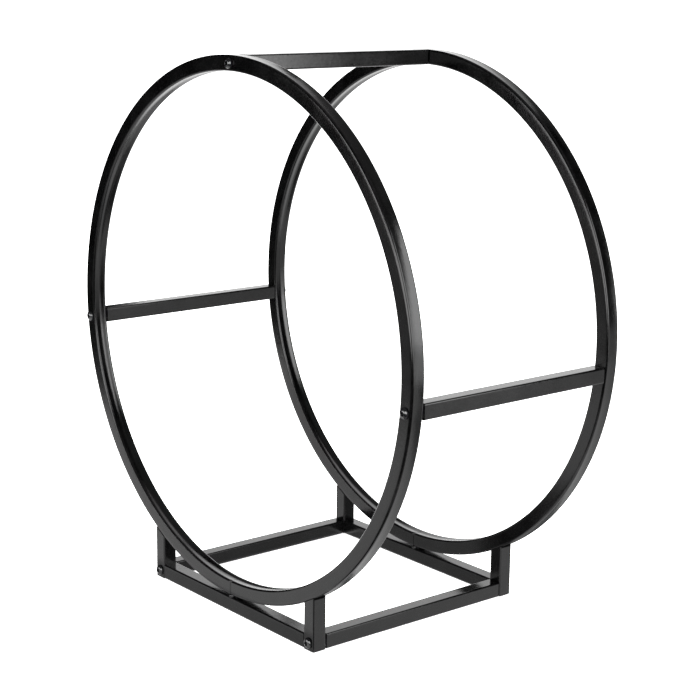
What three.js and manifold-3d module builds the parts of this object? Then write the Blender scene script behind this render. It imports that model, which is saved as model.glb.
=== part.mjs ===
// Firewood log rack: two identical welded end frames, held apart by five bolted cross bars.
// An end frame is a ring of square steel tube standing on a low base of the same tube.
// Millimetres, +Z up. X runs across the rings, Y from the front frame to the rear frame.
// The origin is on the floor, under the middle of the rack.
import * as THREE from "three";
import { mergeVertices } from "three/addons/utils/BufferGeometryUtils.js";
import Module from "manifold-3d";

// Overall sizes
const RING_DIAMETER = 700; // outside of a ring
const RACK_DEPTH = 340; // front face of the front frame to rear face of the rear frame
const BASE_WIDTH = 353; // outside of the left upright to outside of the right upright

// The tube that everything is cut from
const TUBE = 20; // side of the square
const TUBE_WALL = 1.5;
const TUBE_CORNER = 2; // outside corner radius

// How the pieces stand to each other
const RING_LIFT = 3; // from the top of the base bar to the underside of the ring
const SEAM_GAP = 0.6; // open seam where the two ends of a rolled ring meet
const SIDE_BAR_DROP = 32; // side bars below the ring's centre
const JOINT_GAP = 0.3; // between pieces that touch

// M8 button-head bolts and the threaded blocks in the bar ends
const BOLT_DIAMETER = 8;
const BOLT_LENGTH = 35; // under the head
const BOLT_POINT = 1; // chamfer at the tip
const HEAD_DIAMETER = 14;
const HEAD_HEIGHT = 4.4;
const HEAD_RIM = 0.9; // straight side of the head, below its dome
const SOCKET_ACROSS_FLATS = 5;
const SOCKET_DEPTH = 2.8;
const HOLE_CLEARANCE = 0.3; // bolt to bolt hole, on the radius
const THREAD_CLEARANCE = 0.3; // bolt to end block, on the radius
const END_BLOCK_LENGTH = 12;
const END_BLOCK_CHAMFER = 1;
const END_BLOCK_FIT = 0.3; // end block to the inside of the tube

// How finely curves are drawn
const RING_STEPS = 96;
const ROUND_STEPS = 20;
const DOME_STEPS = 4;
const CORNER_STEPS = 1;
const MERGE_DISTANCE = 1e-4;

// Sizes that follow
const ringRadius = RING_DIAMETER / 2;
const ringLineRadius = ringRadius - TUBE / 2;
const ringCentreZ = TUBE + RING_LIFT + ringRadius;
const frameY = RACK_DEPTH / 2 - TUBE / 2;
const uprightX = BASE_WIDTH / 2 - TUBE / 2;
const barLength = RACK_DEPTH - 2 * TUBE - 2 * JOINT_GAP;
const sideBarX = Math.sqrt(ringLineRadius ** 2 - SIDE_BAR_DROP ** 2);
const tubeInside = TUBE - 2 * TUBE_WALL;
const insideCorner = Math.max(TUBE_CORNER - TUBE_WALL, TUBE_CORNER / 4);

// The five cross bars, each by name and by where its centre line crosses the frames.
const bars = [
  { name: "top", x: 0, z: ringCentreZ + ringLineRadius },
  { name: "left", x: -sideBarX, z: ringCentreZ - SIDE_BAR_DROP },
  { name: "right", x: sideBarX, z: ringCentreZ - SIDE_BAR_DROP },
  { name: "base_left", x: -uprightX, z: TUBE / 2 },
  { name: "base_right", x: uprightX, z: TUBE / 2 },
];
const ringBars = bars.slice(0, 3);

// The two ends of the rack: way is the direction along Y that faces out.
const ends = [
  { name: "front", way: -1 },
  { name: "rear", way: 1 },
];

const wasm = await Module();
wasm.setup();

// A closed three.js geometry as a solid that can be cut.
function solidOf(geometry) {
  const bare = geometry.clone();
  bare.deleteAttribute("normal");
  bare.deleteAttribute("uv");
  const merged = mergeVertices(bare, MERGE_DISTANCE);
  return new wasm.Manifold(
    new wasm.Mesh({
      numProp: 3,
      vertProperties: merged.attributes.position.array,
      triVerts: new Uint32Array(merged.index.array),
    }),
  );
}

// A cut solid as a three.js geometry again.
function geometryOf(solid) {
  const mesh = solid.getMesh();
  const geometry = new THREE.BufferGeometry();
  geometry.setAttribute(
    "position",
    new THREE.BufferAttribute(mesh.vertProperties, 3),
  );
  geometry.setIndex(new THREE.BufferAttribute(mesh.triVerts, 1));
  const flat = geometry.toNonIndexed();
  flat.computeVertexNormals();
  return flat;
}

// The corners of a rounded square, anticlockwise, round its own centre.
function roundedSquarePoints(side, corner) {
  const points = [];
  const centre = side / 2 - corner;
  for (let quarter = 0; quarter < 4; quarter++) {
    const middle = Math.PI / 4 + (quarter * Math.PI) / 2;
    const centreX = Math.sign(Math.cos(middle)) * centre;
    const centreY = Math.sign(Math.sin(middle)) * centre;
    for (let step = 0; step <= CORNER_STEPS; step++) {
      const angle = (quarter + step / CORNER_STEPS) * (Math.PI / 2);
      points.push(
        new THREE.Vector2(
          centreX + corner * Math.cos(angle),
          centreY + corner * Math.sin(angle),
        ),
      );
    }
  }
  return points;
}

// A straight square tube along +Z, with its lower end on the floor of its own frame.
function straightTube(length) {
  const section = new THREE.Shape(roundedSquarePoints(TUBE, TUBE_CORNER));
  section.holes.push(
    new THREE.Path(roundedSquarePoints(tubeInside, insideCorner)),
  );
  return new THREE.ExtrudeGeometry(section, {
    depth: length,
    bevelEnabled: false,
  });
}

// A square-section ring round the Y axis, with the given section.
function squareRing(side, corner) {
  const profile = roundedSquarePoints(side, corner);
  profile.forEach((point) => point.set(ringLineRadius + point.x, point.y));
  profile.push(profile[0].clone());
  return new THREE.LatheGeometry(profile, RING_STEPS);
}

// A drill along Y, long enough for a whole frame, at x and z.
function drillAlongY(x, z) {
  const radius = BOLT_DIAMETER / 2 + HOLE_CLEARANCE;
  const drill = new THREE.CylinderGeometry(
    radius,
    radius,
    2 * TUBE,
    ROUND_STEPS,
  );
  return solidOf(drill.translate(x, 0, z));
}

// Ring: square tube rolled to a circle, its two ends meeting in an open seam at the bottom.
function ringGeometry() {
  let ring = solidOf(squareRing(TUBE, TUBE_CORNER));
  ring = ring.subtract(solidOf(squareRing(tubeInside, insideCorner)));
  const saw = new THREE.BoxGeometry(SEAM_GAP, 2 * TUBE, 2 * TUBE);
  ring = ring.subtract(solidOf(saw.translate(0, 0, -ringLineRadius)));
  for (const bar of ringBars) {
    ring = ring.subtract(drillAlongY(bar.x, bar.z - ringCentreZ));
  }
  return geometryOf(ring);
}

// Upright: stands on the floor, and its top is coped to the outside of the ring.
function uprightGeometry(side) {
  const copeRadius = ringRadius + JOINT_GAP;
  const outside = BASE_WIDTH / 2;
  const height = ringCentreZ - Math.sqrt(copeRadius ** 2 - outside ** 2);
  const disc = new THREE.CylinderGeometry(
    copeRadius,
    copeRadius,
    2 * TUBE,
    RING_STEPS,
  );
  let upright = solidOf(straightTube(height));
  upright = upright.subtract(
    solidOf(disc.translate(-side * uprightX, 0, ringCentreZ)),
  );
  upright = upright.subtract(drillAlongY(0, TUBE / 2));
  return geometryOf(upright);
}

// Base bar: lies on the floor between the two uprights of a frame.
function baseBarGeometry() {
  return straightTube(BASE_WIDTH - 2 * TUBE - 2 * JOINT_GAP);
}

// End block: square steel block in the end of a bar, threaded for the bolt.
function endBlockGeometry() {
  const side = tubeInside - 2 * END_BLOCK_FIT;
  const section = new THREE.Shape(roundedSquarePoints(side, END_BLOCK_CHAMFER));
  const thread = new THREE.Path();
  thread.absarc(0, 0, BOLT_DIAMETER / 2 + THREAD_CLEARANCE, 0, 2 * Math.PI, true);
  section.holes.push(thread);
  return new THREE.ExtrudeGeometry(section, {
    depth: END_BLOCK_LENGTH,
    bevelEnabled: false,
    curveSegments: ROUND_STEPS,
  });
}

// Bolt: lies along +Y from the underside of its head, which domes out towards -Y.
function boltGeometry() {
  const headRadius = HEAD_DIAMETER / 2;
  const domeHeight = HEAD_HEIGHT - HEAD_RIM;
  const domeRadius = (headRadius ** 2 + domeHeight ** 2) / (2 * domeHeight);
  const domeAngle = Math.asin(headRadius / domeRadius);
  const shank = BOLT_DIAMETER / 2;
  const profile = [];
  for (let step = 0; step <= DOME_STEPS; step++) {
    const angle = (domeAngle * step) / DOME_STEPS;
    const fall = domeRadius * (1 - Math.cos(angle));
    profile.push(
      new THREE.Vector2(domeRadius * Math.sin(angle), fall - HEAD_HEIGHT),
    );
  }
  profile.push(new THREE.Vector2(headRadius, 0));
  profile.push(new THREE.Vector2(shank, 0));
  profile.push(new THREE.Vector2(shank, BOLT_LENGTH - BOLT_POINT));
  profile.push(new THREE.Vector2(shank - BOLT_POINT, BOLT_LENGTH));
  profile.push(new THREE.Vector2(0, BOLT_LENGTH));
  profile[0].x = 0;
  const socketRadius = SOCKET_ACROSS_FLATS / Math.sqrt(3);
  const socket = new THREE.CylinderGeometry(
    socketRadius,
    socketRadius,
    2 * SOCKET_DEPTH,
    6,
  );
  const bolt = solidOf(new THREE.LatheGeometry(profile, ROUND_STEPS));
  return geometryOf(bolt.subtract(solidOf(socket.translate(0, -HEAD_HEIGHT, 0))));
}

// Satin black powder coat on everything that is welded or sawn from tube.
function powderCoat() {
  return new THREE.MeshStandardMaterial({
    color: 0x1d1d1e,
    roughness: 0.5,
    metalness: 0.0,
  });
}

// Black oxide on the bolts.
function blackOxide() {
  return new THREE.MeshStandardMaterial({
    color: 0x161617,
    roughness: 0.38,
    metalness: 0.6,
  });
}

// Plain zinc-plated steel on the end blocks, which are out of sight.
function platedSteel() {
  return new THREE.MeshStandardMaterial({
    color: 0x9a9c9e,
    roughness: 0.4,
    metalness: 0.9,
  });
}

// A named piece, added to the group it belongs to.
function addPiece(group, name, geometry, material) {
  const mesh = new THREE.Mesh(geometry, material);
  mesh.name = name;
  group.add(mesh);
  return mesh;
}

// One welded end frame: ring, base bar and two uprights.
function endFrame(end) {
  const frame = new THREE.Group();
  frame.position.y = end.way * frameY;

  const ring = addPiece(frame, `${end.name}_ring`, ringGeometry(), powderCoat());
  ring.position.z = ringCentreZ;

  const baseBar = addPiece(
    frame,
    `${end.name}_base_bar`,
    baseBarGeometry(),
    powderCoat(),
  );
  baseBar.rotation.y = Math.PI / 2;
  baseBar.position.set(-uprightX + TUBE / 2 + JOINT_GAP, 0, TUBE / 2);

  for (const [sideName, side] of [["left", -1], ["right", 1]]) {
    const upright = addPiece(
      frame,
      `${end.name}_${sideName}_upright`,
      uprightGeometry(side),
      powderCoat(),
    );
    upright.position.x = side * uprightX;
  }
  return frame;
}

// One cross bar with its two end blocks and the two bolts that hold it.
function crossBar(bar) {
  const group = new THREE.Group();
  group.position.set(bar.x, 0, bar.z);

  const tube = addPiece(
    group,
    `${bar.name}_bar`,
    straightTube(barLength),
    powderCoat(),
  );
  tube.rotation.x = -Math.PI / 2;
  tube.position.y = -barLength / 2;

  for (const end of ends) {
    const block = addPiece(
      group,
      `${bar.name}_bar_${end.name}_end_block`,
      endBlockGeometry(),
      platedSteel(),
    );
    block.rotation.x = (end.way * Math.PI) / 2;
    block.position.y = (end.way * barLength) / 2;

    const bolt = addPiece(
      group,
      `${bar.name}_${end.name}_bolt`,
      boltGeometry(),
      blackOxide(),
    );
    bolt.rotation.z = end.way > 0 ? Math.PI : 0;
    bolt.position.y = end.way * (RACK_DEPTH / 2 + JOINT_GAP);
  }
  return group;
}

const logRack = new THREE.Group();
for (const end of ends) {
  logRack.add(endFrame(end));
}
for (const bar of bars) {
  logRack.add(crossBar(bar));
}

export default logRack;
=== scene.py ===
# Firewood log rack: two round end frames of black square steel tube, joined by five bolted bars.
# Everything is in metres, in the frame of the CAD model: X across the rings, Y from the front
# frame to the rear frame, +Z up, with the origin on the floor under the middle of the rack.
import math

import bpy
import numpy as np
from mathutils import Matrix, Vector


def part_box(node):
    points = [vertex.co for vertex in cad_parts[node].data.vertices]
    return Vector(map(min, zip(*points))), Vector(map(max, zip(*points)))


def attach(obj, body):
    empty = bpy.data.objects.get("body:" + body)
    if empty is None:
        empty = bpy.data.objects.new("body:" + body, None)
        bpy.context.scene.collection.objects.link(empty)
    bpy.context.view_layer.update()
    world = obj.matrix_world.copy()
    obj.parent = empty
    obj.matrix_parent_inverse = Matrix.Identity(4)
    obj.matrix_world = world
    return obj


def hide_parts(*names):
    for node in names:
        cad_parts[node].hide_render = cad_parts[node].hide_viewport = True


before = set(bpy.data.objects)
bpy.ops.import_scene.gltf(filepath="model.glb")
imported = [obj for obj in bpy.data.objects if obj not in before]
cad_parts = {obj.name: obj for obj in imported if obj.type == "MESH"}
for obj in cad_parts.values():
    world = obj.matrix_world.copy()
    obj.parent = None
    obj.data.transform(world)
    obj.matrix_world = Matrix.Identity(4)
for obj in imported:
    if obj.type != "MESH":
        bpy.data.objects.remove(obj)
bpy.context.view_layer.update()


# ==========================================================================================
# Rings. One length of 20 mm square steel tube each, rolled to a full circle and powder
# coated black. Rolling sinks the inner wall along its middle and rounds the corners.
# The two ends meet over the base bar in a narrow seam that is left open on the inside.
# ==========================================================================================
ring_low, ring_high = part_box("front_ring")
tube_side = ring_high.y - ring_low.y
ring_radius = (ring_high.x - ring_low.x) / 2
ring_line = ring_radius - tube_side / 2
ring_height = (ring_low.z + ring_high.z) / 2
tube_wall = 0.0015
ring_corner = 0.0025
hollow_depth = 0.00115
outer_hollow_depth = 0.0003
hollow_half_width = 0.0079
side_fall = 0.0005
side_fall_start = 0.0035
level_start = 0.006
level_blend = 0.002
seam_width = 0.0009
ring_bore_corner = 0.0006
ring_steps = 360
ring_bore_steps = 120


def rounded_square(side, corners, turn_steps=6):
    """Section of a square tube, anticlockwise from its right-hand side. At corner k the outline
    is the quarter circle of radius corners[k], and between two corners it is a straight run
    whose points crowd towards its ends. The second array is 1 on the corners and falls to 0
    along the runs."""
    corners = np.asarray(corners, float)
    signs = np.array([[1, 1], [-1, 1], [-1, -1], [1, -1]])
    centres = signs * (side / 2 - corners[:, None])
    angle = np.linspace(0, np.pi / 2, turn_steps + 1) + np.arange(4)[:, None] * np.pi / 2
    spokes = np.stack([np.cos(angle), np.sin(angle)], axis=-1)
    arcs = centres[:, None] + corners[:, None, None] * spokes
    share = np.array([0.02, 0.08, 0.16, 0.26, 0.38, 0.5, 0.62, 0.74, 0.84, 0.92, 0.98])
    start, stop = arcs[:, -1], np.roll(arcs[:, 0], -1, axis=0)
    runs = start[:, None] + (stop - start)[:, None] * share[:, None]
    outline = np.concatenate([arcs, runs], axis=1).reshape(-1, 2)
    fall = np.clip(np.abs(2 * share - 1) * 4 - 3, 0, 1)
    wear_and_painted_shade = np.concatenate([np.ones(angle.shape), np.tile(fall, (4, 1))], axis=1)
    return outline, wear_and_painted_shade.ravel()


def closed_grid(name, points, wear_and_painted_shade, caps=False):
    """Mesh of a surface points[i, j] that closes on itself along j. Along i it closes too, or,
    with caps, ends in a flat face at each end. Quad (i, j) joins the points (i, j), (i+1, j),
    (i+1, j+1) and (i, j+1). If the volume, the sum of p0 . (p1 x p2) / 6 over the triangles,
    comes out negative, every face is turned round."""
    rows, columns = points.shape[:2]
    index = np.arange(rows * columns).reshape(rows, columns)
    along = np.roll(index, -1, axis=0) if not caps else index[1:]
    base = index if not caps else index[:-1]
    quads = np.stack(
        [base, along, np.roll(along, -1, axis=1), np.roll(base, -1, axis=1)], axis=-1
    ).reshape(-1, 4)
    flat = points.reshape(-1, 3)
    faces = quads.tolist()
    corner = flat[quads]
    volume = np.einsum("ij,ij->", corner[:, 0], np.cross(corner[:, 1], corner[:, 2]))
    volume += np.einsum("ij,ij->", corner[:, 0], np.cross(corner[:, 2], corner[:, 3]))
    if caps:
        for loop in (index[0], index[-1][::-1]):
            faces.append(loop.tolist())
            rim = flat[loop]
            fan = np.cross(rim[1:-1] - rim[0], rim[2:] - rim[0]).sum(axis=0)
            volume += rim[0] @ fan
    if volume < 0:
        faces = [face[::-1] for face in faces]
    mesh = bpy.data.meshes.new(name)
    mesh.from_pydata(flat, [], faces)
    mesh.attributes.new("wear_and_painted_shade", "FLOAT", "POINT").data.foreach_set(
        "value", np.ascontiguousarray(np.broadcast_to(wear_and_painted_shade, (rows, columns)), np.float32).ravel()
    )
    mesh.polygons.foreach_set("use_smooth", np.ones(len(mesh.polygons), bool))
    mesh.update()
    mesh.set_sharp_from_angle(angle=math.radians(40))
    piece = bpy.data.objects.new(name, mesh)
    bpy.context.scene.collection.objects.link(piece)
    return piece


def open_tube(name, outer, inner, wear_and_painted_shade):
    """A tube with open ends: its outside runs from the first end to the last, its inside runs
    back again, and the sawn end faces join the two, so the whole is one closed grid."""
    points = np.concatenate([outer, inner[::-1]])
    return closed_grid(name, points, wear_and_painted_shade)


def powder_coat(name, tone=0.0, gloss=0.0):
    """Satin black powder coat. The film dried with a fine pebbled surface, noise about 1 mm
    across, over a longer swell of 6 mm. Its colour and gloss drift over some 40 mm, specks of
    dust sit in it, and it is thinner and more polished on the corners, where worn is 1."""
    material = bpy.data.materials.new(name)
    material.use_nodes = True
    nodes, links = material.node_tree.nodes, material.node_tree.links
    shader = nodes["Principled BSDF"]
    shader.inputs["IOR"].default_value = 1.4
    place = nodes.new("ShaderNodeTexCoord")

    def noise(scale, detail, roughness):
        texture = nodes.new("ShaderNodeTexNoise")
        texture.inputs["Scale"].default_value = scale
        texture.inputs["Detail"].default_value = detail
        texture.inputs["Roughness"].default_value = roughness
        links.new(place.outputs["Object"], texture.inputs["Vector"])
        return texture.outputs["Fac"]

    def spread(value, low, high, out_low, out_high):
        ramp = nodes.new("ShaderNodeMapRange")
        for socket, number in zip(
            ("From Min", "From Max", "To Min", "To Max"), (low, high, out_low, out_high)
        ):
            ramp.inputs[socket].default_value = number
        links.new(value, ramp.inputs["Value"])
        return ramp.outputs["Result"]

    def combine(kind, first, second):
        node = nodes.new("ShaderNodeMath")
        node.operation = kind
        for socket, value in zip(node.inputs, (first, second)):
            if isinstance(value, float):
                socket.default_value = value
            else:
                links.new(value, socket)
        return node.outputs["Value"]

    drift = noise(26.0, 3.0, 0.55)
    pebble = noise(950.0, 2.0, 0.5)
    swell = noise(170.0, 2.0, 0.5)
    speck = noise(620.0, 1.0, 0.4)
    corner = nodes.new("ShaderNodeAttribute")
    corner.attribute_name = "wear_and_painted_shade"
    rubbed = combine("MULTIPLY", corner.outputs["Fac"], spread(swell, 0.42, 0.62, 0.0, 1.0))

    film = nodes.new("ShaderNodeMix")
    film.data_type = "RGBA"
    dark, light = 0.0005 + tone, 0.0014 + tone
    film.inputs["A"].default_value = (dark, dark, dark * 1.03, 1)
    film.inputs["B"].default_value = (light, light, light * 1.04, 1)
    links.new(spread(drift, 0.36, 0.66, 0.0, 1.0), film.inputs["Factor"])
    dusty = nodes.new("ShaderNodeMix")
    dusty.data_type = "RGBA"
    dusty.inputs["B"].default_value = (0.012, 0.012, 0.0125, 1)
    links.new(film.outputs["Result"], dusty.inputs["A"])
    rubbed_dust = combine("MULTIPLY", rubbed, 0.10)
    dust = combine("ADD", spread(speck, 0.74, 0.80, 0.0, 0.5), rubbed_dust)
    links.new(dust, dusty.inputs["Factor"])
    links.new(dusty.outputs["Result"], shader.inputs["Base Color"])

    rough = spread(drift, 0.3, 0.7, 0.15 - gloss, 0.20 - gloss)
    rough = combine("ADD", rough, spread(pebble, 0.3, 0.7, -0.03, 0.03))
    rough = combine("SUBTRACT", rough, combine("MULTIPLY", rubbed, 0.06))
    links.new(rough, shader.inputs["Roughness"])

    relief = combine("ADD", pebble, combine("MULTIPLY", swell, 1.6))
    bump = nodes.new("ShaderNodeBump")
    bump.inputs["Strength"].default_value = 0.6
    bump.inputs["Distance"].default_value = 0.00007
    links.new(relief, bump.inputs["Height"])
    links.new(bump.outputs["Normal"], shader.inputs["Normal"])
    return material


def finish_piece(piece, material, slot, *nodes):
    """Gives the piece its material and lets it stand for its CAD nodes on the rack. The slot is not
    used.
    """
    piece.data.materials.append(material)
    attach(piece, "root")
    if nodes:
        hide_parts(*nodes)


def rolled(outline):
    """What rolling does to the square section, with a across the tube and b outward. The inner
    wall moves up by depth * cos^2(pi a / 2 w). The outer wall moves down by its own depth *
    (1 - (a / w)^2). Both fade out over the blend as |b| drops to the level where the side walls
    start. The side walls fall in towards the outer corners by fall * s^2, where s runs from
    0 to 1 over the outer part of the wall."""
    a, b = outline[:, 0], outline[:, 1]
    share = np.clip(a / hollow_half_width, -1, 1)
    lift = hollow_depth * np.cos(share * np.pi / 2) ** 2 * (b < 0)
    drop = outer_hollow_depth * (1 - share**2) * (b > 0)
    fall = np.clip((b - side_fall_start) / (tube_side / 2 - side_fall_start), 0, 1) ** 2
    level = np.clip((np.abs(b) - level_start) / level_blend, 0, 1)
    return np.stack([a - np.sign(a) * side_fall * fall, b + level * (lift - drop)], axis=1)


def ring_sweep(outline, middle_y, steps):
    """The section carried round the ring from one side of the seam to the other: at angle t
    from the bottom, a point a across and b out lies at radius ring_line + b."""
    half_seam = seam_width / 2 / ring_line
    turn = np.linspace(half_seam, 2 * np.pi - half_seam, steps + 1)[:, None] - np.pi / 2
    radius = ring_line + outline[None, :, 1]
    return np.stack(
        [
            radius * np.cos(turn),
            np.broadcast_to(middle_y + outline[None, :, 0], (steps + 1, len(outline))),
            ring_height + radius * np.sin(turn),
        ],
        axis=-1,
    )


frame_coat = powder_coat("powder_coat_frames")
skin, skin_worn = rounded_square(tube_side, (ring_corner,) * 4)
bore, _ = rounded_square(tube_side - 2 * tube_wall, (ring_bore_corner,) * 4)
for end in ("front", "rear"):
    low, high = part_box(f"{end}_ring")
    middle_y = (low.y + high.y) / 2
    outside = ring_sweep(rolled(skin), middle_y, ring_steps)
    inside = ring_sweep(rolled(bore), middle_y, ring_bore_steps)
    ring = open_tube(f"ring_{end}", outside, inside, skin_worn)
    finish_piece(ring, frame_coat, "black_powder_coat", f"{end}_ring")


# ==========================================================================================
# Base bars. Square tube on the floor under each ring, between the two uprights. Their ends
# are welded to the uprights and ground flush.
# ==========================================================================================
tube_corner = 0.0021
bore_corner = 0.0005
square, square_worn = rounded_square(tube_side, (tube_corner,) * 4)
square_bore, _ = rounded_square(tube_side - 2 * tube_wall, (bore_corner,) * 4)


def straight_sweep(outline, start, stop, side_way, up_way, chamfer=0.0):
    """The section carried straight from start to stop, a along side_way and b along up_way.
    The first and last rows draw in by the chamfer, as a filed edge does."""
    start, stop = np.asarray(start, float), np.asarray(stop, float)
    length = np.linalg.norm(stop - start)
    if chamfer:
        stations = np.array([0, chamfer, 0.5 * length, length - chamfer, length])
        shrink = np.array([chamfer, 0, 0, 0, chamfer])
    else:
        stations = np.array([0, length])
        shrink = np.zeros(2)
    scale = 1 - 2 * shrink / tube_side
    way = (stop - start) / length
    flat = outline[:, :1] * np.asarray(side_way, float) + outline[:, 1:] * np.asarray(up_way, float)
    return start + stations[:, None, None] * way + scale[:, None, None] * flat


base_coat = powder_coat("powder_coat_base", tone=0.0002)
for end in ("front", "rear"):
    low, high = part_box(f"{end}_base_bar")
    uprights = [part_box(f"{end}_{side}_upright") for side in ("left", "right")]
    middle = (low + high) / 2
    start = (uprights[0][1].x, middle.y, middle.z)
    stop = (uprights[1][0].x, middle.y, middle.z)
    ways = ((0, 1, 0), (0, 0, 1))
    base_bar = open_tube(
        f"base_bar_{end}",
        straight_sweep(square, start, stop, *ways),
        straight_sweep(square_bore, start, stop, *ways),
        square_worn,
    )
    finish_piece(base_bar, base_coat, "black_powder_coat", f"{end}_base_bar")


# ==========================================================================================
# Uprights. Short square tubes on the floor at both ends of each base bar, open at the
# bottom. Their tops are coped to the outside of the ring and welded to it, except that the
# wall on the outer side stops a little short and leaves a slit.
# ==========================================================================================
cope_depth = 0.0004
open_gap = 0.0028
gap_start = 0.0082
gap_blend = 0.001
gap_half_width = 0.0092
gap_end_blend = 0.0008


def upright_sweep(outline, middle_x, middle_y):
    """The section stood on the floor. Above each point the wall rises to the ring: its height
    is ring_height - sqrt(r^2 - x^2), where r is the ring's radius less the cope's depth. The
    wall on the far side from the middle of the rack is cut short by the open gap, but not
    where it turns into the front and rear walls. The rows between floor and top lie at
    0.006, 0.5 and 0.996 of the height, so both ends stay crisp."""
    x, y = middle_x + outline[:, 0], middle_y + outline[:, 1]
    top = ring_height - np.sqrt((ring_radius - cope_depth) ** 2 - x**2)
    outward = np.clip((np.sign(middle_x) * outline[:, 0] - gap_start) / gap_blend, 0, 1)
    inside = np.clip((gap_half_width - np.abs(outline[:, 1])) / gap_end_blend, 0, 1)
    top = top - open_gap * outward * inside
    rise = np.array([0, 0.006, 0.5, 0.996, 1])
    return np.stack(
        [
            np.broadcast_to(x, (len(rise), len(x))),
            np.broadcast_to(y, (len(rise), len(y))),
            rise[:, None] * top,
        ],
        axis=-1,
    )


for end in ("front", "rear"):
    for side in ("left", "right"):
        low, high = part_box(f"{end}_{side}_upright")
        middle = (low + high) / 2
        upright = open_tube(
            f"upright_{end}_{side}",
            upright_sweep(square, middle.x, middle.y),
            upright_sweep(square_bore, middle.x, middle.y),
            square_worn,
        )
        finish_piece(upright, base_coat, "black_powder_coat", f"{end}_{side}_upright")


# ==========================================================================================
# Welds. Small beads left under the powder coat: one on each side of a ring's seam, bridging
# the gap down to the base bar, a dot at the front of the seam's inner edge, and one under the
# ring at the inner side of every upright.
# ==========================================================================================
bridge_half = (0.0046, 0.0042, 0.0036)
bridge_inset = 0.0032
dot_half = (0.0030, 0.0017, 0.0020)
dot_inset = 0.0009
bead_half = (0.0016, 0.0086, 0.0013)
bead_ripple = 0.12
bead_out = 0.0003
bead_drop = 0.0004
bead_wear = 0.3


def weld_bead(name, centre, half, ripple=0.06, turn=0.0):
    """An egg with the given half sizes: at latitude u and longitude v it stands off by
    cos u cos v in X, sin u in Y and cos u sin v in Z. In X and Z that is also times
    1 + ripple * sin(3 v + 1) cos(5 u), as a bead freezes. It is turned about Y by the turn."""
    u = np.linspace(-np.pi / 2 + 0.02, np.pi / 2 - 0.02, 22)[:, None]
    v = np.linspace(0, 2 * np.pi, 32, endpoint=False)[None, :]
    swell = 1 + ripple * np.sin(3 * v + 1) * np.cos(5 * u)
    x = half[0] * np.cos(u) * np.cos(v) * swell
    y = half[1] * np.broadcast_to(np.sin(u), x.shape)
    z = half[2] * np.cos(u) * np.sin(v) * swell
    c, s = math.cos(turn), math.sin(turn)
    points = np.stack(
        [centre[0] + c * x + s * z, centre[1] + y, centre[2] - s * x + c * z], axis=-1
    )
    return closed_grid(name, points, bead_wear, caps=True)


for end in ("front", "rear"):
    ring_box, bar_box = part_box(f"{end}_ring"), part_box(f"{end}_base_bar")
    joint_height = (ring_box[0].z + bar_box[1].z) / 2
    for face, face_y, way in (("front", ring_box[0].y, 1), ("rear", ring_box[1].y, -1)):
        bridge = weld_bead(
            f"seam_weld_{end}_{face}",
            (0, face_y + way * bridge_inset, joint_height),
            bridge_half,
        )
        finish_piece(bridge, base_coat, "black_powder_coat")
    dot = weld_bead(
        f"seam_dot_{end}",
        (0, ring_box[0].y + dot_inset, ring_height - ring_radius + tube_side - dot_inset),
        dot_half,
    )
    finish_piece(dot, base_coat, "black_powder_coat")
    for side, way in (("left", 1), ("right", -1)):
        low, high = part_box(f"{end}_{side}_upright")
        inner_x = high.x if way > 0 else low.x
        under = ring_height - math.sqrt(ring_radius**2 - inner_x**2)
        slope = math.asin(inner_x / ring_radius)
        bead = weld_bead(
            f"upright_weld_{end}_{side}",
            (inner_x + way * bead_out, (low.y + high.y) / 2, under - bead_drop),
            bead_half,
            bead_ripple,
            slope / 2,
        )
        finish_piece(bead, base_coat, "black_powder_coat")


# ==========================================================================================
# Cross bars. Five straight square tubes between the two end frames: one at the top, one at
# each side a little below the ring's middle, and two on the floor. Sawn square, filed.
# ==========================================================================================
filed_edge = 0.00025
end_clearance = 0.0012
bar_coat = powder_coat("powder_coat_bars", tone=0.0002, gloss=0.01)
bar_names = ("top", "left", "right", "base_left", "base_right")
for name in bar_names:
    low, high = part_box(f"{name}_bar")
    middle = (low + high) / 2
    start = (middle.x, low.y + end_clearance, middle.z)
    stop = (middle.x, high.y - end_clearance, middle.z)
    ways = ((1, 0, 0), (0, 0, 1))
    bar = open_tube(
        f"cross_bar_{name}",
        straight_sweep(square, start, stop, *ways, filed_edge),
        straight_sweep(square_bore, start, stop, *ways),
        square_worn,
    )
    finish_piece(bar, bar_coat, "black_powder_coat", f"{name}_bar")


# ==========================================================================================
# End blocks. A zinc-plated steel block is pressed into each end of every cross bar until it
# sits a little inside the end. It is tapped M8 through its length for the bolt.
# ==========================================================================================
bolt_radius = 0.004
thread_pitch = 0.00125
thread_depth = 0.0006
thread_gap = 0.0001
thread_rows = 61
hole_mouth_radius = 0.0042
block_corner = 0.001
block_edge = 0.0006
block_recess = 0.0020


def thread_radius(crest, height, angle):
    """Radius of a thread: crest - depth * |2 s - 1|, where s is the fraction of
    height / pitch - angle / 2 pi. With the height along Y and the angle from X towards Z, each
    turn climbs one pitch and the thread is left-handed."""
    share = np.mod(height / thread_pitch - angle / (2 * np.pi), 1)
    return crest - thread_depth * np.abs(2 * share - 1)


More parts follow.
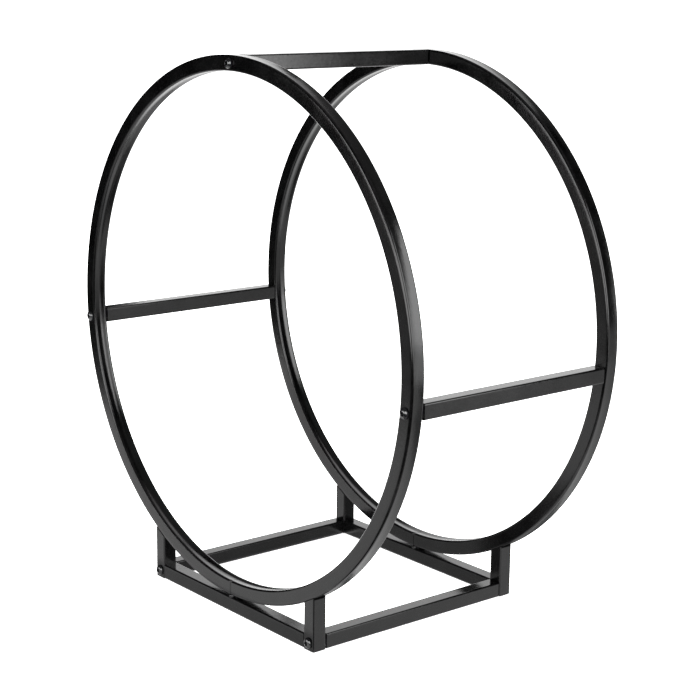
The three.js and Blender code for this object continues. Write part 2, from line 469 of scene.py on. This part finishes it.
def plated_steel(name):
    """Zinc-plated steel: a bluish grey metal whose tone and roughness drift over 8 mm, with
    fine cross lines from sawing in its bump."""
    material = bpy.data.materials.new(name)
    material.use_nodes = True
    nodes, links = material.node_tree.nodes, material.node_tree.links
    shader = nodes["Principled BSDF"]
    shader.inputs["Metallic"].default_value = 1.0
    place = nodes.new("ShaderNodeTexCoord")
    cloud = nodes.new("ShaderNodeTexNoise")
    cloud.inputs["Scale"].default_value = 130.0
    cloud.inputs["Detail"].default_value = 4.0
    links.new(place.outputs["Object"], cloud.inputs["Vector"])
    tone = nodes.new("ShaderNodeMix")
    tone.data_type = "RGBA"
    tone.inputs["A"].default_value = (0.28, 0.29, 0.31, 1)
    tone.inputs["B"].default_value = (0.42, 0.43, 0.44, 1)
    links.new(cloud.outputs["Fac"], tone.inputs["Factor"])
    links.new(tone.outputs["Result"], shader.inputs["Base Color"])
    rough = nodes.new("ShaderNodeMapRange")
    rough.inputs["To Min"].default_value = 0.28
    rough.inputs["To Max"].default_value = 0.50
    links.new(cloud.outputs["Fac"], rough.inputs["Value"])
    links.new(rough.outputs["Result"], shader.inputs["Roughness"])
    stretch = nodes.new("ShaderNodeMapping")
    stretch.inputs["Scale"].default_value = (400.0, 3000.0, 400.0)
    links.new(place.outputs["Object"], stretch.inputs["Vector"])
    lines = nodes.new("ShaderNodeTexNoise")
    lines.inputs["Scale"].default_value = 1.0
    links.new(stretch.outputs["Vector"], lines.inputs["Vector"])
    bump = nodes.new("ShaderNodeBump")
    bump.inputs["Strength"].default_value = 0.4
    bump.inputs["Distance"].default_value = 0.00005
    links.new(lines.outputs["Fac"], bump.inputs["Height"])
    links.new(bump.outputs["Normal"], shader.inputs["Normal"])
    return material


block_steel = plated_steel("zinc_plated_steel")
for name in bar_names:
    for end in ("front", "rear"):
        node = f"{name}_bar_{end}_end_block"
        low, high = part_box(node)
        middle, side = (low + high) / 2, high.x - low.x
        outline, _ = rounded_square(side, (block_corner,) * 4)
        first_y = low.y + block_recess * (end == "front")
        length = high.y - low.y - block_recess
        angle = np.arctan2(outline[:, 1], outline[:, 0])
        # Outside: the section along Y, drawn in by the filed edge at both ends.
        stations = np.array([0, block_edge, length - block_edge, length])
        shrink = 1 - 2 * np.array([block_edge, 0, 0, block_edge]) / side
        shell = shrink[:, None, None] * outline
        shell_y = np.broadcast_to(first_y + stations[:, None], shell.shape[:2])
        # Inside: the tapped hole, one thread gap wider than the bolt's own thread.
        turns = np.linspace(length, 0, thread_rows)[:, None]
        sunk = np.minimum(turns, length - turns)
        wide = thread_radius(bolt_radius + thread_gap, first_y + turns, angle[None, :])
        wide = np.maximum(wide, hole_mouth_radius - sunk)
        hole = wide[..., None] * np.stack([np.cos(angle), np.sin(angle)], axis=-1)
        hole_y = np.broadcast_to(first_y + turns, hole.shape[:2])
        flat = np.concatenate([shell, hole])
        y = np.concatenate([shell_y, hole_y])
        points = np.stack([middle.x + flat[..., 0], y, middle.z + flat[..., 1]], axis=-1)
        block = closed_grid(f"end_block_{name}_{end}", points, 0.0)
        finish_piece(block, block_steel, "plated_block", node)


# ==========================================================================================
# Bolts. M8 button-head screws with a 5 mm hexagon socket, blackened steel. Each passes
# through a ring or an upright, its head outside, into the end block of a cross bar. The
# rear ones mirror the front ones, so the front threads are left-handed and the rear right.
# ==========================================================================================
head_height = 0.0044
head_rim = 0.0009
rim_edge = 0.0003
neck_fillet = 0.0004
thread_start = 0.0006
socket_flats = 0.005
socket_depth = 0.0028
socket_dip = 0.0006
socket_edge = 0.00012
dome_gap = 0.0002
bolt_point = 0.001
pole_radius = 0.0003
bolt_steps = 60
dome_rows = 16
shank_rows = 165


def bolt_profile(head_radius, length):
    """Radius and height of a bolt over a grid of (station, angle), from the middle of the
    socket's floor, up its six walls, over the dome and the rim, under the head and down the
    threaded shank to the tip. Height 0 is under the head, and the head is above it. The
    surface starts and ends on a tiny flat of the pole radius."""
    angle = np.linspace(0, 2 * np.pi, bolt_steps, endpoint=False)[None, :]
    sixth = np.mod(angle, np.pi / 3) - np.pi / 6
    hexagon = socket_flats / 2 / np.cos(sixth)
    floor = head_height - socket_depth
    brim = head_height - socket_edge
    parts = []

    def add(radius, height):
        shape = np.broadcast_shapes(np.shape(radius), np.shape(height), angle.shape)
        parts.append((np.broadcast_to(radius, shape), np.broadcast_to(height, shape)))

    # The socket's floor dips to its middle like a drill point; its walls stand straight.
    add(np.array([[pole_radius]]), floor - socket_dip)
    share = np.array([0.35, 0.7, 0.97])[:, None]
    add(share * hexagon, floor - socket_dip * (1 - share))
    add(hexagon, np.array([[floor + 0.00005]]))
    rise = np.array([0.1, 0.5, 0.92])[:, None]
    add(hexagon, floor + rise * (brim - floor))
    # The dome: an ellipse from the chamfer round the socket to the top of the rim.
    drop = head_height - head_rim
    flat_radius = socket_flats / np.sqrt(3) + dome_gap
    sweep = np.linspace(0, 1, dome_rows)[:, None]
    lean = np.arcsin(flat_radius / head_radius) * (1 - sweep) + np.pi / 2 * sweep
    crown = np.sqrt(1 - (flat_radius / head_radius) ** 2)
    add(head_radius * np.sin(lean), head_rim + drop * np.cos(lean) / crown)
    add(np.array([[head_radius]]), rim_edge)
    add(np.array([[head_radius - rim_edge]]), 0.0)
    # Under the head, then the threaded shank and its chamfered tip.
    add(np.array([[bolt_radius + neck_fillet]]), 0.0)
    add(np.array([[bolt_radius]]), -neck_fillet)
    depth = np.linspace(thread_start, length, shank_rows)[:, None]
    thread = thread_radius(bolt_radius, -depth, -angle)
    add(np.minimum(thread, bolt_radius - bolt_point + (length - depth)), -depth)
    add(np.array([[pole_radius]]), -length)
    radius = np.concatenate([part[0] for part in parts])
    height = np.concatenate([part[1] for part in parts])
    return radius, height, np.broadcast_to(angle, radius.shape)


def blackened_steel(name):
    """Blackened screw steel, smoother than the powder coat. Its oil-dark tone drifts over
    3 mm. The tool has rubbed it bright at the socket's edge, where worn is 1. In the socket
    and round the rim, where worn is -1, painted shade keeps it from reflecting: the dark of
    the socket's hole and of the shadow gap under the head's rim."""
    material = bpy.data.materials.new(name)
    material.use_nodes = True
    nodes, links = material.node_tree.nodes, material.node_tree.links
    shader = nodes["Principled BSDF"]
    shader.inputs["IOR"].default_value = 1.65
    place = nodes.new("ShaderNodeTexCoord")
    cloud = nodes.new("ShaderNodeTexNoise")
    cloud.inputs["Scale"].default_value = 330.0
    cloud.inputs["Detail"].default_value = 3.0
    links.new(place.outputs["Object"], cloud.inputs["Vector"])
    tone = nodes.new("ShaderNodeMix")
    tone.data_type = "RGBA"
    tone.inputs["A"].default_value = (0.002, 0.002, 0.0022, 1)
    tone.inputs["B"].default_value = (0.006, 0.006, 0.0065, 1)
    links.new(cloud.outputs["Fac"], tone.inputs["Factor"])
    rub = nodes.new("ShaderNodeAttribute")
    rub.attribute_name = "wear_and_painted_shade"
    bare = nodes.new("ShaderNodeMix")
    bare.data_type = "RGBA"
    bare.inputs["B"].default_value = (0.05, 0.05, 0.055, 1)
    amount = nodes.new("ShaderNodeMath")
    amount.operation = "MULTIPLY"
    amount.use_clamp = True
    links.new(rub.outputs["Fac"], amount.inputs[0])
    links.new(cloud.outputs["Fac"], amount.inputs[1])
    links.new(amount.outputs["Value"], bare.inputs["Factor"])
    links.new(tone.outputs["Result"], bare.inputs["A"])
    links.new(bare.outputs["Result"], shader.inputs["Base Color"])
    # Painted shade: below 0, in the socket and round the rim, the reflection falls almost to
    # nothing.
    painted_shade_dimming = nodes.new("ShaderNodeMapRange")
    painted_shade_dimming.inputs["From Min"].default_value = -1.0
    painted_shade_dimming.inputs["From Max"].default_value = 0.0
    painted_shade_dimming.inputs["To Min"].default_value = 0.02
    painted_shade_dimming.inputs["To Max"].default_value = 0.5
    links.new(rub.outputs["Fac"], painted_shade_dimming.inputs["Value"])
    links.new(painted_shade_dimming.outputs["Result"], shader.inputs["Specular IOR Level"])
    rough = nodes.new("ShaderNodeMapRange")
    rough.inputs["To Min"].default_value = 0.12
    rough.inputs["To Max"].default_value = 0.22
    links.new(cloud.outputs["Fac"], rough.inputs["Value"])
    links.new(rough.outputs["Result"], shader.inputs["Roughness"])
    grit = nodes.new("ShaderNodeTexNoise")
    grit.inputs["Scale"].default_value = 1800.0
    links.new(place.outputs["Object"], grit.inputs["Vector"])
    bump = nodes.new("ShaderNodeBump")
    bump.inputs["Strength"].default_value = 0.25
    bump.inputs["Distance"].default_value = 0.00004
    links.new(grit.outputs["Fac"], bump.inputs["Height"])
    links.new(bump.outputs["Normal"], shader.inputs["Normal"])
    return material


# Where the head is rubbed bright, and where painted shade dulls the socket and the rim: radii and
# heights on the head.
socket_edge_radius = 0.56 * socket_flats
socket_edge_width = 0.0004
socket_edge_low = 0.003
socket_reach = 0.59 * socket_flats
rim_radius = 0.0055
rim_top = 0.0019
bolt_black = blackened_steel("blackened_screw_steel")
for name in bar_names:
    for end, way in (("front", -1), ("rear", 1)):
        node = f"{name}_{end}_bolt"
        low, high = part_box(node)
        middle = (low + high) / 2
        head_radius = (high.x - low.x) / 2
        length = (high.y - low.y) - head_height
        outer_end = low.y if way < 0 else high.y
        under_head = outer_end - way * head_height
        radius, height, angle = bolt_profile(head_radius, length)
        points = np.stack(
            [
                middle.x + radius * np.cos(angle),
                under_head + way * height,
                middle.z + radius * np.sin(angle),
            ],
            axis=-1,
        )
        # Painted shade in the socket's hole and in the shadow gap round the rim: these get -1.
        socket_painted_shade = (radius < socket_reach) & (height > 0) & (height < head_height - 1e-4)
        rim_painted_shade = (radius > rim_radius) & (height < rim_top)
        from_edge = (radius - socket_edge_radius) / socket_edge_width
        rubbed = np.exp(-(from_edge**2)) * (height > socket_edge_low)
        rubbed = np.where(socket_painted_shade | rim_painted_shade, -1.0, rubbed)
        bolt = closed_grid(f"bolt_{name}_{end}", points, rubbed, caps=True)
        finish_piece(bolt, bolt_black, "black_bolt", node)


# ==========================================================================================
# Studio. A pale matt floor, a plain bright surround, soft panels and glowing floor strips that
# the black tubes reflect, and the camera, which stands to the right of the front frame and
# looks a little down on the rack.
# ==========================================================================================
def floor_material(name, level, glow):
    """Matt sheet with an even tone, that also glows a little by itself, like a light table."""
    material = bpy.data.materials.new(name)
    material.use_nodes = True
    nodes, links = material.node_tree.nodes, material.node_tree.links
    shader = nodes["Principled BSDF"]
    shader.inputs["Base Color"].default_value = (level, level, level, 1)
    shader.inputs["Roughness"].default_value = 0.9
    shader.inputs["Specular IOR Level"].default_value = 0.2
    shader.inputs["Emission Color"].default_value = (1, 1, 1, 1)
    shader.inputs["Emission Strength"].default_value = glow
    return material


def flat_sheet(name, outline, height, material):
    """One flat face through the outline's corners at the given height."""
    mesh = bpy.data.meshes.new(name)
    mesh.from_pydata([(x, y, height) for x, y in outline], [], [tuple(range(len(outline)))])
    mesh.materials.append(material)
    sheet = bpy.data.objects.new(name, mesh)
    bpy.context.scene.collection.objects.link(sheet)
    return sheet


far = 60.0
floor_depth = -0.002
floor = flat_sheet(
    "studio_floor",
    ((-far, -far), (far, -far), (far, far), (-far, far)),
    floor_depth,
    floor_material("studio_white", 0.9, 0.9),
)
floor.visible_glossy = False

# Painted shade: dim glowing patches of floor under and beside the rack. Only reflections see
# them. Each has its name, its height over the floor, its glow and its outline.
for name, height, glow, outline in (
    ("inside", 0.0003, 0.55, ((-0.15, -0.147), (0.15, -0.147), (0.15, 0.147), (-0.15, 0.147))),
    (
        "corner",
        0.0006,
        0.02,
        ((-0.105, -0.148), (-0.02, -0.148), (0.14, -0.01), (0.10, 0.11), (-0.105, -0.08)),
    ),
    ("behind", 0.0003, 0.20, ((-0.16, 0.172), (0.17, 0.172), (0.30, 0.45), (-0.05, 0.45))),
    ("before", 0.0003, 0.70, ((-0.24, -0.206), (0.15, -0.206), (0.178, -0.171), (-0.19, -0.171))),
    ("turn", 0.0006, 0.04, ((0.178, -0.172), (0.24, -0.50), (0.52, -0.22))),
):
    material = floor_material(f"studio_shade_{name}", 0.0, glow)
    sheet = flat_sheet(f"studio_shade_{name}", outline, height, material)
    sheet.visible_camera = False
    sheet.visible_diffuse = False
    sheet.visible_shadow = False

world = bpy.data.worlds.new("studio_surround")
world.use_nodes = True
world.node_tree.nodes["Background"].inputs["Color"].default_value = (1, 1, 1, 1)
world.node_tree.nodes["Background"].inputs["Strength"].default_value = 1.4
bpy.context.scene.world = world
world.cycles_visibility.glossy = False
bpy.context.scene.view_settings.view_transform = "Standard"

camera_turn = math.radians(50.502)


def soft_light(name, width, height, brightness, matrix):
    """A flat soft light; its power is its brightness times pi times its area."""
    light = bpy.data.lights.new(name, "AREA")
    light.shape = "RECTANGLE"
    light.size = width
    light.size_y = height
    light.energy = brightness * math.pi * width * height
    panel = bpy.data.objects.new(name, light)
    panel.matrix_world = matrix
    panel.visible_camera = False
    bpy.context.scene.collection.objects.link(panel)


def standing_panel(name, turn, distance, height, width, tall, brightness):
    """A soft light upright at the given turn from the front towards the right, in degrees,
    and at the given distance from the middle of the rack, which it faces."""
    turn = math.radians(turn)
    away = Vector((math.sin(turn), -math.cos(turn), 0))
    place = Matrix.Translation(away * distance + Vector((0, 0, height)))
    face = away.to_track_quat("Z", "Y").to_matrix().to_4x4()
    soft_light(name, width, tall, brightness, place @ face)


def lit_floor(name, across, towards, brightness):
    """A part of the floor that glows upwards, given by how far it reaches across the camera's
    view and towards the camera, in metres from the middle of the rack."""
    middle = ((across[0] + across[1]) / 2, (towards[0] + towards[1]) / 2)
    turned = Matrix.Rotation(camera_turn, 4, "Z")
    place = turned @ Matrix.Translation((middle[0], -middle[1], -0.001))
    over = Matrix.Rotation(math.pi, 4, "X")
    soft_light(name, across[1] - across[0], towards[1] - towards[0], brightness, place @ over)


# The floor is brightest behind the rack and fades towards the camera and to the sides.
lit_floor("floor_near", (-1.15, 0.95), (-0.55, 0.38), 1.35)
lit_floor("floor_edge", (-1.15, 0.95), (0.38, 0.60), 0.50)
lit_floor("floor_back", (-1.15, 0.95), (-3.2, -0.55), 2.0)
lit_floor("floor_left", (-6.0, -1.15), (-0.5, 0.62), 0.35)
lit_floor("floor_by_panel", (0.95, 1.6), (-0.2, 0.62), 1.2)
lit_floor("floor_right", (1.6, 4.0), (-1.5, 0.62), 0.8)
lit_floor("floor_right_back", (0.95, 1.6), (-1.5, -0.2), 0.75)

# Two panels stand close on the right with a broad dim one beside them, two in front, and a
# pale wall behind to the left with a dimmer strip over it. A very dim one hangs overhead.
standing_panel("right_panel", 114.5, 1.763, 1.07, 0.73, 1.37, 7.2)
standing_panel("right_low_panel", 114.5, 1.76, 0.2, 0.73, 0.37, 3.0)
standing_panel("right_fill_panel", 94, 2.4, 1.1, 1.5, 1.6, 2.8)
standing_panel("front_panel", 36, 2.9, 1.15, 2.5, 1.8, 6.8)
standing_panel("front_left_panel", -14, 3.0, 0.75, 2.7, 0.85, 6.5)
standing_panel("back_panel", -146, 3.0, 1.25, 3.2, 2.5, 1.7)
standing_panel("back_high_panel", -153.6, 3.026, 2.95, 1.8, 0.9, 0.9)
soft_light("overhead_panel", 4.0, 4.0, 0.2, Matrix.Translation((0, 0.6, 3.2)))

camera_rise = math.radians(12.677)
camera_roll = math.radians(0.739)
camera_distance = 2.3003
aim_right = 0.02121
aim_down = 0.04187
back = Vector(
    (
        math.sin(camera_turn) * math.cos(camera_rise),
        -math.cos(camera_turn) * math.cos(camera_rise),
        math.sin(camera_rise),
    )
)
level_right = Vector((math.cos(camera_turn), math.sin(camera_turn), 0))
level_up = back.cross(level_right)
right = level_right * math.cos(camera_roll) + level_up * math.sin(camera_roll)
up = level_up * math.cos(camera_roll) - level_right * math.sin(camera_roll)
aim = Vector((0, 0, ring_height)) + right * aim_right - up * aim_down
lens = bpy.data.cameras.new("studio_camera")
lens.sensor_width = 36.0
lens.lens = 89.01
camera = bpy.data.objects.new("studio_camera", lens)
camera.matrix_world = Matrix.Translation(aim + back * camera_distance) @ Matrix(
    (right, up, back)
).transposed().to_4x4()
bpy.context.scene.collection.objects.link(camera)
bpy.context.scene.camera = camera
